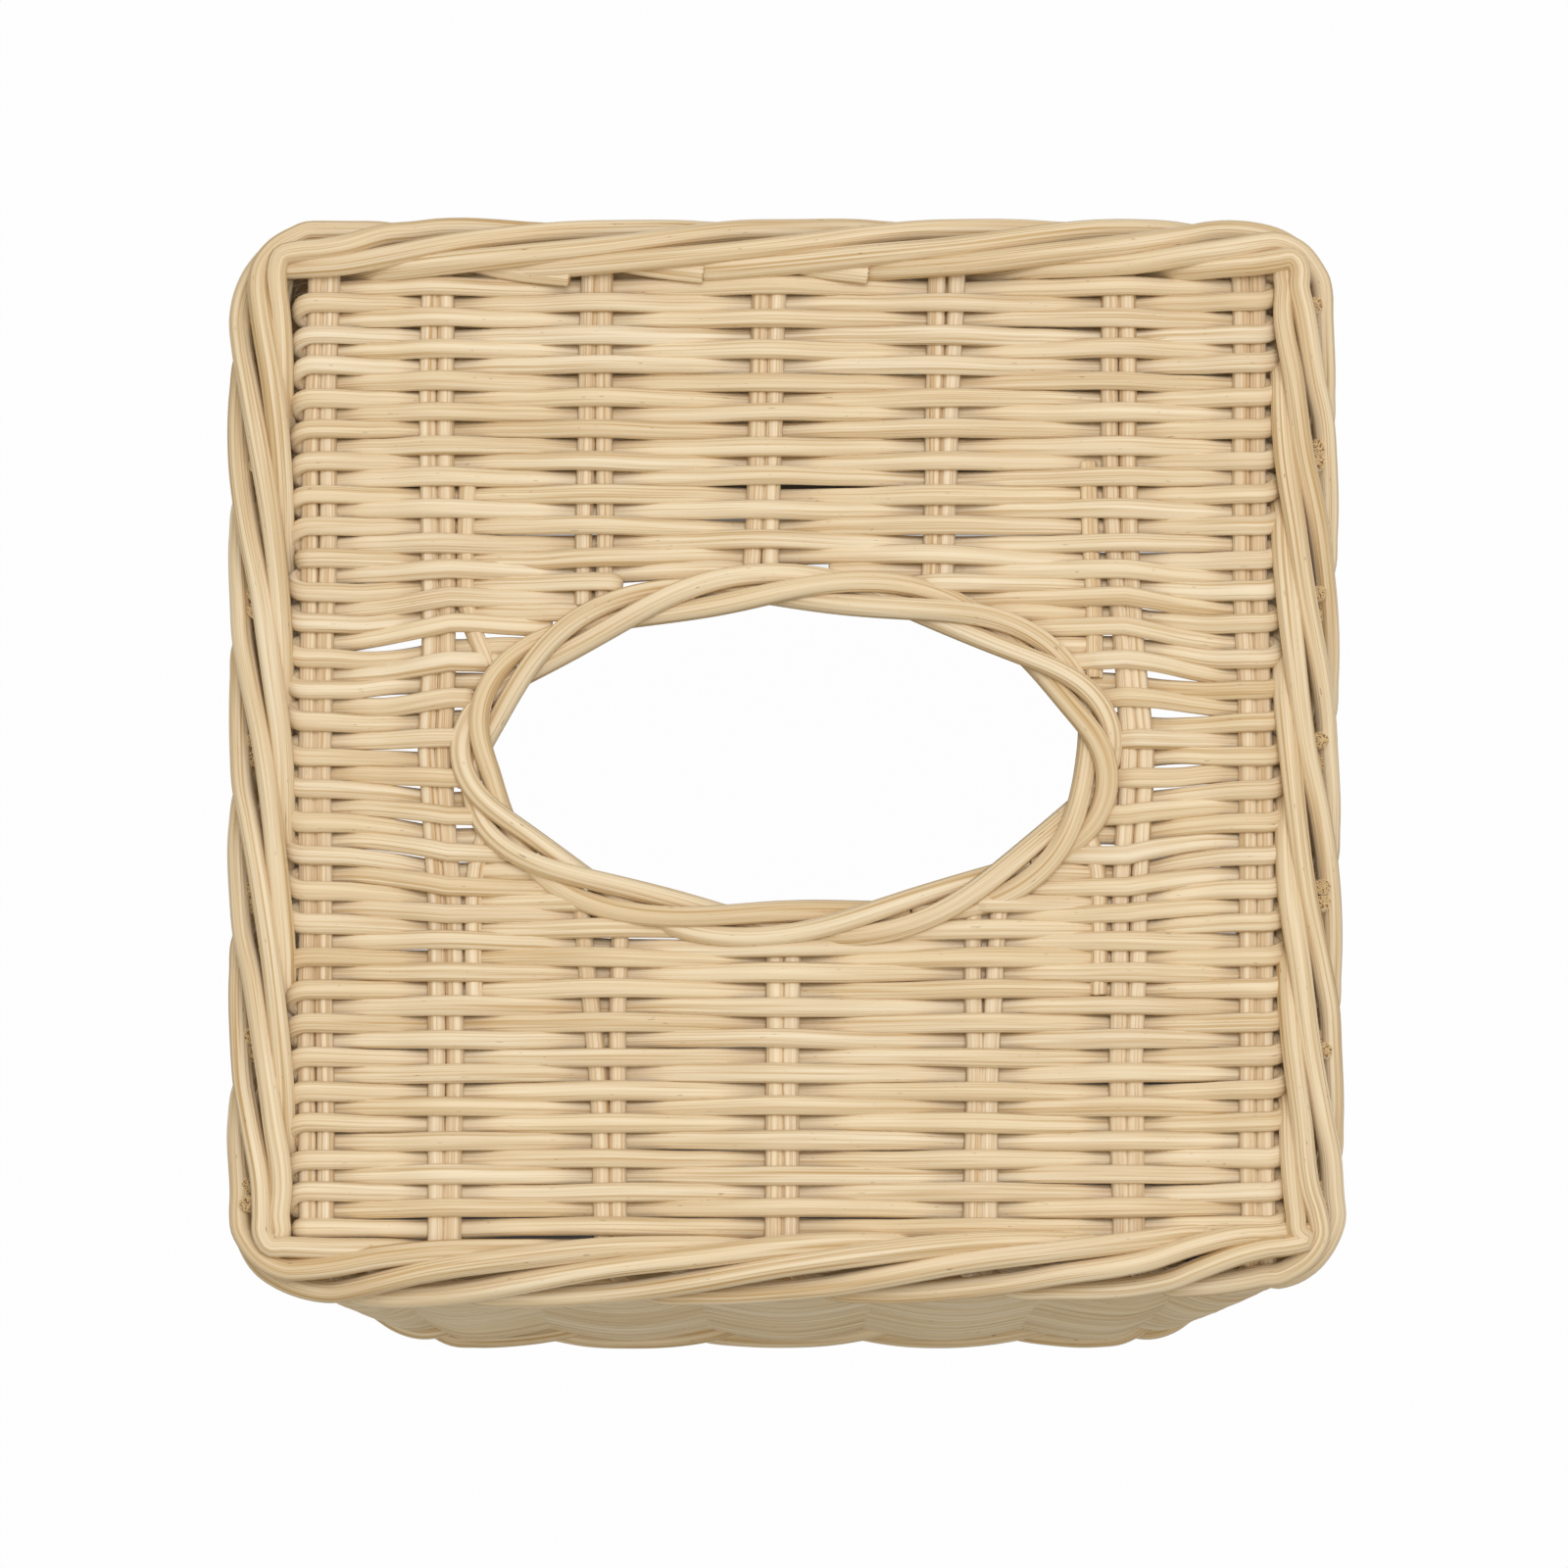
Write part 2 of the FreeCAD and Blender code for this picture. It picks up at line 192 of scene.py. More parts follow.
def bakeStrips(canesOfPiece):
    lengths = [cane["along"][-1] for cane in canesOfPiece]
    strips = max(1, math.ceil(math.sqrt(sum(lengths) / unroll["girth"])))
    stripLength = sum(lengths) / strips * unroll["spare"]
    maps = []
    done = 0
    for cane, length in zip(canesOfPiece, lengths):
        ring, side = caneFaces(cane)[2:]
        place = done + cane["along"]
        strip = np.minimum(place[ring] // stripLength, strips - 1)
        left = (place[ring] - strip * stripLength) / stripLength * unroll["usedLength"]
        right = (place[ring + 1] - strip * stripLength) / stripLength * unroll["usedLength"] + unroll["lap"]
        low = (strip + unroll["margin"] + unroll["usedHeight"] * side / cane["sides"]) / strips
        high = (strip + unroll["margin"] + unroll["usedHeight"] * (side + 1) / cane["sides"]) / strips
        maps.append(np.stack([left, low, left, high, right, high, right, low], axis=1).ravel())
        spot = np.repeat([left[0], right[-1]], cane["sides"])
        base = np.repeat([strip[0], strip[-1]], cane["sides"]) + unroll["margin"]
        turn = np.tile(np.arange(cane["sides"]), 2) / cane["sides"] * unroll["usedHeight"]
        nextTurn = turn + unroll["usedHeight"] / cane["sides"]
        tip = spot + unroll["tip"]
        ends = [spot, (base + nextTurn) / strips, spot, (base + turn) / strips, tip, (base + turn) / strips]
        maps.append(np.stack(ends, axis=1).ravel())
        done += length
    return np.concatenate(maps)


def addPiece(name, canesOfPiece, material, slot, *nodes):
    loops = []
    starts = []
    points = 0
    loopCount = 0
    for cane in canesOfPiece:
        quads, tris = caneFaces(cane)[:2]
        for faces, corners in ((quads, 4), (tris, 3)):
            loops.append((faces + points).ravel())
            starts.append(loopCount + np.arange(len(faces)) * corners)
            loopCount += faces.size
        points += len(cane["points"])
    loops = np.concatenate(loops).astype(np.int32)
    starts = np.concatenate(starts).astype(np.int32)
    mesh = bpy.data.meshes.new(name)
    mesh.vertices.add(points)
    mesh.vertices.foreach_set("co", np.concatenate([c["points"] for c in canesOfPiece]).ravel() * mm)
    mesh.loops.add(len(loops))
    mesh.loops.foreach_set("vertex_index", loops)
    mesh.polygons.add(len(starts))
    mesh.polygons.foreach_set("loop_start", starts)
    mesh.polygons.foreach_set("use_smooth", np.ones(len(starts), dtype=bool))
    mesh.update(calc_edges=True)
    space = mesh.attributes.new("caneSpace", "FLOAT_VECTOR", "POINT")
    space.data.foreach_set("vector", np.concatenate([c["space"] for c in canesOfPiece]).ravel())
    for label, key in (("caneTint", "tint"), ("cutEnd", "cut")):
        layer = mesh.attributes.new(label, "FLOAT", "POINT")
        layer.data.foreach_set("value", np.concatenate([c[key] for c in canesOfPiece]))
    unrolled = mesh.uv_layers.new(name="OFBake")
    unrolled.uv.foreach_set("vector", bakeStrips(canesOfPiece).astype(np.float32))
    mesh.materials.append(material)
    piece = bpy.data.objects.new(name, mesh)
    bpy.context.scene.collection.objects.link(piece)
    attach(piece, "root")
    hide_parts(*nodes)


# Shader: fibres, specks and tone of the cane, shared by all three materials
def addNode(tree, kind, at, settings=None, inputs=None):
    node = tree.nodes.new(kind)
    node.location = at
    for key, value in (settings or {}).items():
        setattr(node, key, value)
    for key, value in (inputs or {}).items():
        if isinstance(value, bpy.types.NodeSocket):
            tree.links.new(value, node.inputs[key])
        else:
            node.inputs[key].default_value = value
    return node


def makeFibreGroup():
    group = bpy.data.node_groups.new("caneFibre", "ShaderNodeTree")
    for label, kind, value in (
        ("Pale", "NodeSocketColor", (0.8, 0.67, 0.45, 1)),
        ("Warm", "NodeSocketColor", (0.7, 0.52, 0.29, 1)),
        ("Streak", "NodeSocketColor", (0.5, 0.33, 0.15, 1)),
        ("Streak Amount", "NodeSocketFloat", 0.5),
        ("Speck Amount", "NodeSocketFloat", 0.6),
        ("Tone Spread", "NodeSocketFloat", 0.6),
        ("Roughness", "NodeSocketFloat", 0.55),
    ):
        socket = group.interface.new_socket(label, in_out="INPUT", socket_type=kind)
        socket.default_value = value
    outputs = {"Color": "NodeSocketColor", "Roughness": "NodeSocketFloat", "Height": "NodeSocketFloat"}
    for label, kind in outputs.items():
        group.interface.new_socket(label, in_out="OUTPUT", socket_type=kind)
    given = addNode(group, "NodeGroupInput", (-1500, 0))
    result = addNode(group, "NodeGroupOutput", (900, 0))
    space = addNode(group, "ShaderNodeAttribute", (-1500, 300), {"attribute_name": "caneSpace"})
    tint = addNode(group, "ShaderNodeAttribute", (-1500, 500), {"attribute_name": "caneTint"})
    cut = addNode(group, "ShaderNodeAttribute", (-1500, -400), {"attribute_name": "cutEnd"})

    def fibreNoise(label, stretch, detail, low, high, y):
        # noise drawn out along the cane, spread to 0..1 between two of its values
        scaled = addNode(group, "ShaderNodeVectorMath", (-1250, y), {"operation": "MULTIPLY", "label": label},
                         {0: space.outputs["Vector"], 1: stretch})
        noise = addNode(group, "ShaderNodeTexNoise", (-1050, y), None,
                        {"Vector": scaled.outputs[0], "Scale": 1.0, "Detail": detail, "Roughness": 0.6})
        spread = addNode(group, "ShaderNodeMapRange", (-850, y), {"clamp": True},
                         {"Value": noise.outputs["Fac"], "From Min": low, "From Max": high})
        return spread.outputs["Result"]

    broad = fibreNoise("broad streaks", (0.018, 1.1, 1.1), 3.0, 0.42, 0.72, 500)
    fine = fibreNoise("fine fibres", (0.03, 3.2, 3.2), 2.0, 0.48, 0.66, 250)
    tone = fibreNoise("slow tone", (0.03, 0.12, 0.12), 2.0, 0.30, 0.70, 0)
    speck = fibreNoise("specks", (0.55, 3.2, 3.2), 1.0, 0.74, 0.80, -250)
    pore = fibreNoise("pores of a cut end", (0.2, 3.6, 3.6), 1.0, 0.50, 0.62, -500)

    toneShift = addNode(group, "ShaderNodeMath", (-600, 400), {"operation": "MULTIPLY_ADD"},
                        {0: tone, 1: 0.5, 2: tint.outputs["Fac"]})
    toneMiddle = addNode(group, "ShaderNodeMath", (-450, 400),
                         {"operation": "MULTIPLY_ADD", "use_clamp": True},
                         {0: toneShift.outputs[0], 1: given.outputs["Tone Spread"], 2: -0.1})
    base = addNode(group, "ShaderNodeMix", (-250, 350), {"data_type": "RGBA"},
                   {0: toneMiddle.outputs[0], 6: given.outputs["Pale"], 7: given.outputs["Warm"]})
    both = addNode(group, "ShaderNodeMath", (-600, 150), {"operation": "MULTIPLY_ADD"},
                   {0: fine, 1: 0.9, 2: broad})
    amount = addNode(group, "ShaderNodeMath", (-450, 150), {"operation": "MULTIPLY", "use_clamp": True},
                     {0: both.outputs[0], 1: given.outputs["Streak Amount"]})
    streaked = addNode(group, "ShaderNodeMix", (-50, 250), {"data_type": "RGBA"},
                       {0: amount.outputs[0], 6: base.outputs[2], 7: given.outputs["Streak"]})
    speckAmount = addNode(group, "ShaderNodeMath", (-450, -150), {"operation": "MULTIPLY"},
                          {0: speck, 1: given.outputs["Speck Amount"]})
    specked = addNode(group, "ShaderNodeMix", (150, 150), {"data_type": "RGBA"},
                      {0: speckAmount.outputs[0], 6: streaked.outputs[2], 7: (0.16, 0.08, 0.03, 1)})
    grain = addNode(group, "ShaderNodeMix", (150, -250), {"data_type": "RGBA"},
                    {0: pore, 6: (0.62, 0.44, 0.22, 1), 7: (0.2, 0.1, 0.04, 1)})
    ended = addNode(group, "ShaderNodeMix", (400, 50), {"data_type": "RGBA"},
                    {0: cut.outputs["Fac"], 6: specked.outputs[2], 7: grain.outputs[2]})
    rough = addNode(group, "ShaderNodeMath", (400, -200), {"operation": "MULTIPLY_ADD"},
                    {0: fine, 1: 0.16, 2: given.outputs["Roughness"]})
    height = addNode(group, "ShaderNodeMath", (400, -400), {"operation": "MULTIPLY_ADD"},
                     {0: broad, 1: 0.5, 2: fine})
    group.links.new(ended.outputs[2], result.inputs["Color"])
    group.links.new(rough.outputs[0], result.inputs["Roughness"])
    group.links.new(height.outputs[0], result.inputs["Height"])
    return group


def makeCaneMaterial(name, group, values):
    material = bpy.data.materials.new(name)
    material.use_nodes = True
    tree = material.node_tree
    tree.nodes.clear()
    fibre = addNode(tree, "ShaderNodeGroup", (-500, 0), {"node_tree": group}, values["fibre"])
    bump = addNode(tree, "ShaderNodeBump", (-250, -250), {"invert": True},
                   {"Strength": values["bumpStrength"], "Distance": values["bumpDepth"],
                    "Height": fibre.outputs["Height"]})
    shader = addNode(tree, "ShaderNodeBsdfPrincipled", (0, 0), None,
                     {"Base Color": fibre.outputs["Color"], "Roughness": fibre.outputs["Roughness"],
                      "Normal": bump.outputs["Normal"], "Specular IOR Level": values["shine"]})
    addNode(tree, "ShaderNodeOutputMaterial", (300, 0), None, {"Surface": shader.outputs["BSDF"]})
    return material


fibreGroup = makeFibreGroup()
weaverLook = {
    "fibre": {"Pale": (0.87, 0.745, 0.54, 1), "Warm": (0.81, 0.65, 0.41, 1), "Streak": (0.56, 0.37, 0.17, 1),
              "Streak Amount": 0.6, "Speck Amount": 0.5, "Tone Spread": 0.75, "Roughness": 0.5},
    "bumpStrength": 0.35, "bumpDepth": 0.0001, "shine": 0.2,
}
stakeLook = {
    "fibre": {"Pale": (0.89, 0.765, 0.56, 1), "Warm": (0.84, 0.675, 0.43, 1), "Streak": (0.56, 0.35, 0.15, 1),
              "Streak Amount": 0.65, "Speck Amount": 0.3, "Tone Spread": 0.6, "Roughness": 0.52},
    "bumpStrength": 0.5, "bumpDepth": 0.0001, "shine": 0.2,
}
edgeLook = {
    "fibre": {"Pale": (0.86, 0.73, 0.52, 1), "Warm": (0.80, 0.635, 0.40, 1), "Streak": (0.54, 0.35, 0.15, 1),
              "Streak Amount": 0.7, "Speck Amount": 0.6, "Tone Spread": 0.75, "Roughness": 0.5},
    "bumpStrength": 0.4, "bumpDepth": 0.0001, "shine": 0.2,
}
weaverCane = makeCaneMaterial("weaverCane", fibreGroup, weaverLook)
stakeCane = makeCaneMaterial("stakeCane", fibreGroup, stakeLook)
edgeCane = makeCaneMaterial("edgeCane", fibreGroup, edgeLook)
print("materials made")

# The four walls in order: front, right, back, left. u runs along a wall from its left end seen from outside.
walls = {"cornerRadius": 7.0, "baseRadius": 21.5, "taper": 1.5, "rows": 56, "lowest": 5.6, "highest": 124.6,
         "lift": 1.7, "steepness": 1.1, "step": 1.1, "uneven": 0.14, "drift": 0.2, "toneDrift": 0.22,
         "toneSpread": 0.15}
wallNames = ["front", "right", "back", "left"]
wallLines = [lineY, lineX, lineY, lineX]
wallStraights = [line - walls["cornerRadius"] for line in (lineX, lineY, lineX, lineY)]
halfCorner = walls["cornerRadius"] * math.pi / 4
halfWalls = [straight + halfCorner for straight in wallStraights]
wallPlaces = [columnX, sideY, -columnX[::-1], -sideY[::-1]]
aroundAll = 2 * sum(halfWalls)


def plan(wall, u, out, radius):
    # the place at u along a wall, so far outside the line of its stakes; the corners may be rounder
    u = np.asarray(u, dtype=float)
    straight = wallStraights[wall] + walls["cornerRadius"] - radius
    # a wall stands in a little towards its base, where its corners are rounder
    out = out - walls["taper"] * np.maximum(0, radius - walls["cornerRadius"]) / walls["baseRadius"]
    beyond = np.maximum(0, np.abs(u) - straight)
    angle = beyond * np.pi / 4 / (halfWalls[wall] - straight)
    reach = radius + out
    along = np.sign(u) * (np.minimum(np.abs(u), straight) + reach * np.sin(angle))
    away = wallLines[wall] - radius + reach * np.cos(angle)
    return [(along, -away), (away, along), (-along, away), (-away, -along)][wall]


def radiusAt(z):
    # the corners get rounder towards the base
    return walls["cornerRadius"] + (walls["baseRadius"] - walls["cornerRadius"]) * (1 - z / topZ)


def waveOver(place, stakes, signs, lift, steepness):
    # how far a weaver stands off the line of the stakes that it passes on alternate sides
    stakes = np.asarray(stakes, dtype=float)
    signs = np.asarray(signs, dtype=float)
    k = np.clip(np.searchsorted(stakes, place) - 1, 0, len(stakes) - 2)
    share = np.clip((place - stakes[k]) / (stakes[k + 1] - stakes[k]), 0, 1)
    swing = np.cos(np.pi * share) * signs[k]
    # the steeper, the longer the rows lie side by side between the stakes
    level = np.sign(swing) * np.abs(swing) ** steepness
    return lift * level, 1 - np.abs(level)


# Stakes of the top: pairs of canes up the back wall, over the top and down the front wall
topStakes = {"bend": 4.0, "gap": 1.05, "gapDrift": 0.06, "gapPeriod": 45.0, "foot": 1.2, "step": 1.0,
             "drift": 0.18, "driftPeriod": 70.0, "calmBelow": 60.0, "calm": 0.6}
# A stake that the slot cuts: where it meets the ring, how far it goes under it, and how its pair spreads
cutStakes = {"meetY": 20.0, "under": 1.4, "spreadOver": 30.0, "spreadCurve": 1.5}
# How far each column, from the left, stands off its even place, at these places from front to back
driftPlaces = [-66, -42, -21, 0, 21, 42, 66]
columnDrift = [
    [-1.9, -2.1, -2.4, -2.7, -2.6, -2.4, -2.2],
    [1.8, 2.0, 1.8, 0.3, 0.5, 0.3, 0.1],
    [0.6, -0.3, -1.1, -1.6, -2.4, -2.0, -1.9],
    [-0.6, -0.6, -0.6, -2.0, -3.4, -2.9, -2.3],
    [1.6, 2.2, 2.8, 0.0, -3.4, -2.8, -1.9],
    [-2.0, -2.3, -1.6, -0.6, -2.0, -2.7, -2.4],
    [2.0, 2.0, 2.0, 2.3, 1.9, 1.9, 1.8],
]
spreadAtSlot = {"stake_column_3_front": 1.6, "stake_column_5_front": 0.5, "stake_column_3_back": 0.3}
# Ring round the slot: its middle line, how its canes twist, and the lobes at which one follows another
ring = {"middleX": 40.6, "middleY": 22.2, "halfBand": 2.6, "shiftY": -1.0, "z": 1.3, "twist": 1.92,
        "rise": 1.25, "lobes": 13, "phase": 1.379, "splices": [0, 4, 9, 13], "spliceGap": 0.006,
        "points": 460, "drift": 0.1, "driftPeriod": 50.0, "driftScale": 36.0}
ringOuterX = ring["middleX"] + ring["halfBand"]
ringOuterY = ring["middleY"] + ring["halfBand"]


def columnAt(k, y):
    return columnX[k] + np.interp(y, driftPlaces, columnDrift[k])


def ringEdgeY(x):
    return ringOuterY * np.sqrt(np.maximum(0, 1 - (x / ringOuterX) ** 2))


def ringEdgeX(y):
    return ringOuterX * np.sqrt(np.maximum(0, 1 - (y / ringOuterY) ** 2))


def stakeLine(k, way, whole, spread, rng):
    # a stake of column k from its foot up a wall, to the far foot or only to the ring; way is 1 from the back
    bend = topStakes["bend"]
    up = np.arange(topStakes["foot"], topZ - bend, topStakes["step"])
    turn = np.linspace(0, np.pi / 2, 9)
    across = lineY - bend
    y = np.concatenate([np.full(len(up), lineY), across + bend * np.cos(turn)])
    z = np.concatenate([up, topZ - bend + bend * np.sin(turn)])
    if whole:
        reachEnd = -across
    else:
        reachEnd = max(0.0, float(ringEdgeY(columnAt(k, way * cutStakes["meetY"])))) - cutStakes["under"]
    over = np.arange(across, reachEnd, -topStakes["step"])[1:]
    y = np.concatenate([y, over])
    z = np.concatenate([z, np.full(len(over), topZ)])
    if whole:
        y = np.concatenate([y, -(across + bend * np.cos(turn[::-1])), np.full(len(up), -lineY)])
        z = np.concatenate([z, topZ - bend + bend * np.sin(turn[::-1]), up[::-1]])
    x = columnAt(k, way * y) + wander(way * y + z, topStakes["drift"], topStakes["driftPeriod"], rng)
    # near the foot the drift mostly dies out
    calm = np.clip(1 - z / topStakes["calmBelow"], 0, 1) * topStakes["calm"]
    x = x - np.interp(y * way, driftPlaces, columnDrift[k]) * calm
    if not whole:
        near = np.clip(1 - (y - reachEnd) / cutStakes["spreadOver"], 0, 1)
        x = x + spread * near ** cutStakes["spreadCurve"]
    return np.stack([x, way * y, z], axis=1)


for k, nodes in enumerate(columnNodes):
    for node in nodes:
        way = -1 if node.endswith("_front") else 1
        whole = len(nodes) == 1
        pair = []
        for hand in (-1, 1):
            rng = np.random.default_rng([11, k, way + 1, hand + 1])
            line = stakeLine(k, way, whole, hand * spreadAtSlot.get(node, 0.0), rng)
            apart = wander(line[:, 1] + line[:, 2], topStakes["gapDrift"], topStakes["gapPeriod"], rng)
            line[:, 0] += hand * topStakes["gap"] + hand * np.abs(apart)
            # on the front and the back wall the stakes keep to the line of the wall
            for wall, sign in ((0, 1), (2, -1)):
                below = (line[:, 1] * sign < 0) & (line[:, 2] < topZ - topStakes["bend"])
                onWall = plan(wall, line[below, 0] * sign, 0.0, radiusAt(line[below, 2]))
                line[below, :2] = np.stack(onWall, axis=1)
            pair.append(makeCane(line, "stake", (1, 0, 0), rng, sides=12))
        addPiece(node.replace("stake_column", "topStakes"), pair, stakeCane, "stake_cane", node)

# Stakes of the side walls, cut off in the edge
sideStakes = {"top": 1.5, "topUneven": 0.6, "step": 2.0, "gapDrift": 0.1, "gapPeriod": 45.0, "drift": 0.2,
              "driftPeriod": 90.0}
for side, name in ((-1, "left"), (1, "right")):
    for number in range(1, perSide + 1):
        pair = []
        for hand in (-1, 1):
            rng = np.random.default_rng([12, side + 1, number, hand + 1])
            cutOff = rng.uniform(-sideStakes["topUneven"], sideStakes["topUneven"])
            z = np.arange(topStakes["foot"], topZ + sideStakes["top"] + cutOff, sideStakes["step"])
            apart = topStakes["gap"] + np.abs(wander(z, sideStakes["gapDrift"], sideStakes["gapPeriod"], rng))
            drift = wander(z, sideStakes["drift"], sideStakes["driftPeriod"], rng)
            y = sideY[number - 1] + hand * apart + drift
            x, y = plan(1 if side > 0 else 3, y * side, 0.0, radiusAt(z))
            pair.append(makeCane(np.stack([x, y, z], axis=1), "stake", (1, 0, 0), rng, sides=12))
        node = "%s_wall_stake_%d" % (name, number)
        addPiece("%sWallStakes.%d" % (name, number), pair, stakeCane, "stake_cane", node)

# Short third stakes beside the ends of the slot: the places (x, y) that each passes, from the ring outwards
shortStakes = {
    "short_stake_back_left": [(-38.9, 11.0), (-41.6, 18.0), (-42.0, 26.0), (-41.8, 35.0)],
    "short_stake_front_left": [(-38.6, -9.5), (-40.2, -15.0), (-40.6, -24.0), (-40.4, -33.0)],
    "short_stake_back_right": [(40.0, 9.5), (40.0, 19.0), (39.6, 28.0), (39.4, 38.0)],
    "short_stake_front_right": [(38.8, -9.5), (40.2, -16.0), (40.4, -24.0), (40.2, -32.0)],
}
for index, (node, points) in enumerate(shortStakes.items()):
    rng = np.random.default_rng([13, index])
    line = smoothPath([(x, y, topZ) for x, y in points], 1.0)
    cane = makeCane(line, "stake", (1, 0, 0), rng, sides=12)
    addPiece(node.replace("short_stake", "shortStake"), [cane], stakeCane, "stake_cane", node)
print("stakes made")

# Weave of the top: rows counted from the back
topWeave = {"rows": 58, "lift": 1.5, "steepness": 2.0, "press": 0.06, "step": 0.6, "uneven": 0.16,
            "drift": 0.15, "driftPeriod": 75.0, "bob": 0.08, "bobPeriod": 40.0, "toneSpread": 0.22,
            "past": 0.9, "hook": 2.3, "curl": 1.3, "curlTurn": 0.6}
rowAnchors = {0: 61.3, 8: 44.4, 16: 27.2, 29: -1.0, 40: -25.0, 48: -42.3, 57: -62.0}
rowBase = np.interp(np.arange(topWeave["rows"]), list(rowAnchors), list(rowAnchors.values()))
uneven = topWeave["uneven"]
rowBase = rowBase + np.random.default_rng(21).uniform(-uneven, uneven, topWeave["rows"])
slotRowLimit = ringOuterY - 1.2  # rows nearer the middle than this are cut by the slot
# The open gaps beside the ring as (x, y, width), and how far around each the rows give way
openGaps = [(-51.0, 12.0, 1.2), (-51.0, 7.2, 1.0), (-41.5, 13.6, 0.9), (49.0, 9.3, 1.1), (49.0, 4.6, 1.1),
            (49.5, -2.2, 1.0), (42.0, -10.6, 0.8)]
gapReach = {"x": 5.5, "y": 3.2}
# Rows that the slot cuts fan out towards the ring, and the rows next to it are pushed off
fan = {"most": 1.9, "reachY": 26.0, "from": 57.0, "over": 13.0, "curve": 1.5}
besideRing = {"most": 1.0, "y": 24.5, "reach": 2.5, "halfX": 32.0}


def pushedBy(x, y):
    # how far the rows beside the ring are pushed apart
    if abs(y) > slotRowLimit:
        close = np.exp(-((abs(y) - besideRing["y"]) / besideRing["reach"]) ** 2)
        push = np.sign(y) * besideRing["most"] * close * np.clip(1 - (x / besideRing["halfX"]) ** 2, 0, 1)
    else:
        near = np.clip((fan["from"] - np.abs(x)) / fan["over"], 0, 1) ** fan["curve"]
        push = np.sign(y) * fan["most"] * np.sin(np.pi * min(abs(y) / fan["reachY"], 1)) * near
    for gapX, gapY, wide in openGaps:
        near = np.exp(-((x - gapX) / gapReach["x"]) ** 2 - ((y - gapY) / gapReach["y"]) ** 2)
        push += wide / 2 * np.sign(y - gapY) * near
    return push


def topRow(row, xFrom, xTo):
    # one row of the top weave, as a line and how much it is pressed by its neighbours
    rng = np.random.default_rng([22, row])
    x = np.linspace(xFrom, xTo, max(3, int(abs(xTo - xFrom) / topWeave["step"]) + 1))
    y = rowBase[row] + wander(x, topWeave["drift"], topWeave["driftPeriod"], rng) + pushedBy(x, rowBase[row])
    stakes = [columnAt(k, rowBase[row]) for k in range(perSide)]
    signs = [(-1) ** (k + row + 1) for k in range(perSide)]
    lift, middle = waveOver(x, stakes, signs, topWeave["lift"], topWeave["steepness"])
    z = topZ + lift + wander(x, topWeave["bob"], topWeave["bobPeriod"], rng)
    return np.stack([x, y, z], axis=1), topWeave["press"] * middle


def hookOver(last, first, side, reach):
    # the turn round an edge stake from the end of one row to the start of the next
    turn = np.linspace(0, np.pi, 13)[1:-1]
    share = (1 - np.cos(turn)) / 2
    x = last[0] + (first[0] - last[0]) * share + side * reach * np.sin(turn)
    y = last[1] + (first[1] - last[1]) * share
    z = topZ + (last[2] - topZ) * np.cos(turn)
    z = np.where(turn > np.pi / 2, topZ - (first[2] - topZ) * np.cos(turn), z)
    return np.stack([x, y, z], axis=1), np.zeros(len(turn))


def curlDown(part, side):
    # a row that lies over its last stake turns down at its end
    last = part[0][-1]
    turn = np.linspace(0, np.pi * topWeave["curlTurn"], 8)[1:]
    x = last[0] + side * topWeave["curl"] * np.sin(turn)
    z = topZ + (last[2] - topZ) * np.cos(turn)
    return np.stack([x, np.full(len(turn), last[1]), z], axis=1), np.zeros(len(turn))


def edgeEnd(row, side):
    # where a row starts to turn, just past the outer stakes
    k = 0 if side < 0 else perSide - 1
    return columnAt(k, rowBase[row]) + side * topWeave["past"]


def joinRows(parts):
    line = np.concatenate([part[0] for part in parts])
    press = np.concatenate([part[1] for part in parts])
    return line, press


def rowTints(line, rng):
    # each row has its own tone
    tones = rng.normal(0.5, topWeave["toneSpread"], topWeave["rows"] + 2)
    level = np.interp(-line[:, 1], -rowBase, np.arange(topWeave["rows"]))
    near = np.round(level).astype(int)
    return tones[np.clip(near, 0, len(tones) - 1)]


# A cane's cut end that comes out from under the edge: the places it passes, seen from its tip
tailSteps = [(-14.0, 2.6, 0.2), (-7.0, 1.0, 1.2), (0.0, 0.0, 2.0)]
tailTips = [(-28.6, 62.4), (-11.0, 62.9), (10.6, 62.8)]
tailGrain = 0.7


def zigzag(rows, name, node, seed, tails):
    # rows woven to and fro in one line, with a hook round the outer stakes from each row to the next
    parts = []
    for count, row in enumerate(rows):
        side = 1 if count % 2 == 0 else -1
        part = topRow(row, edgeEnd(row, -side), edgeEnd(row, side))
        if parts:
            parts.append(hookOver(parts[-1][0][-1], part[0][0], -side, topWeave["hook"]))
        parts.append(part)
    if part[0][-1][2] > topZ:
        parts.append(curlDown(part, side))
    line, press = joinRows(parts)
    rng = np.random.default_rng([23, seed])
    made = [makeCane(line, "weaver", (0, 1, 0), rng, tint=rowTints(line, rng), press=press)]
    for x, y in tails:
        points = [(x + dx, y + dy, topZ + dz) for dx, dy, dz in tailSteps]
        made.append(makeCane(smoothPath(points, tailGrain), "weaver", (0, 1, 0), rng))
    addPiece(name, made, weaverCane, "weaver_cane", node)


slotRows = [row for row in range(topWeave["rows"]) if abs(rowBase[row]) < slotRowLimit]
backRows = range(slotRows[0])
frontRows = range(slotRows[-1] + 1, topWeave["rows"])
zigzag(backRows, "topWeaversBack", "top_weavers_back", 0, tailTips)
zigzag(frontRows, "topWeaversFront", "top_weavers_front", 1, [])

# How the rows end at the ring: in under it, or with a curl just before it
underRing = {"in": 2.0, "further": 12.0, "tuck": 4.0, "drop": -0.7, "nearer": 0.8, "high": 0.8, "before": 0.6}


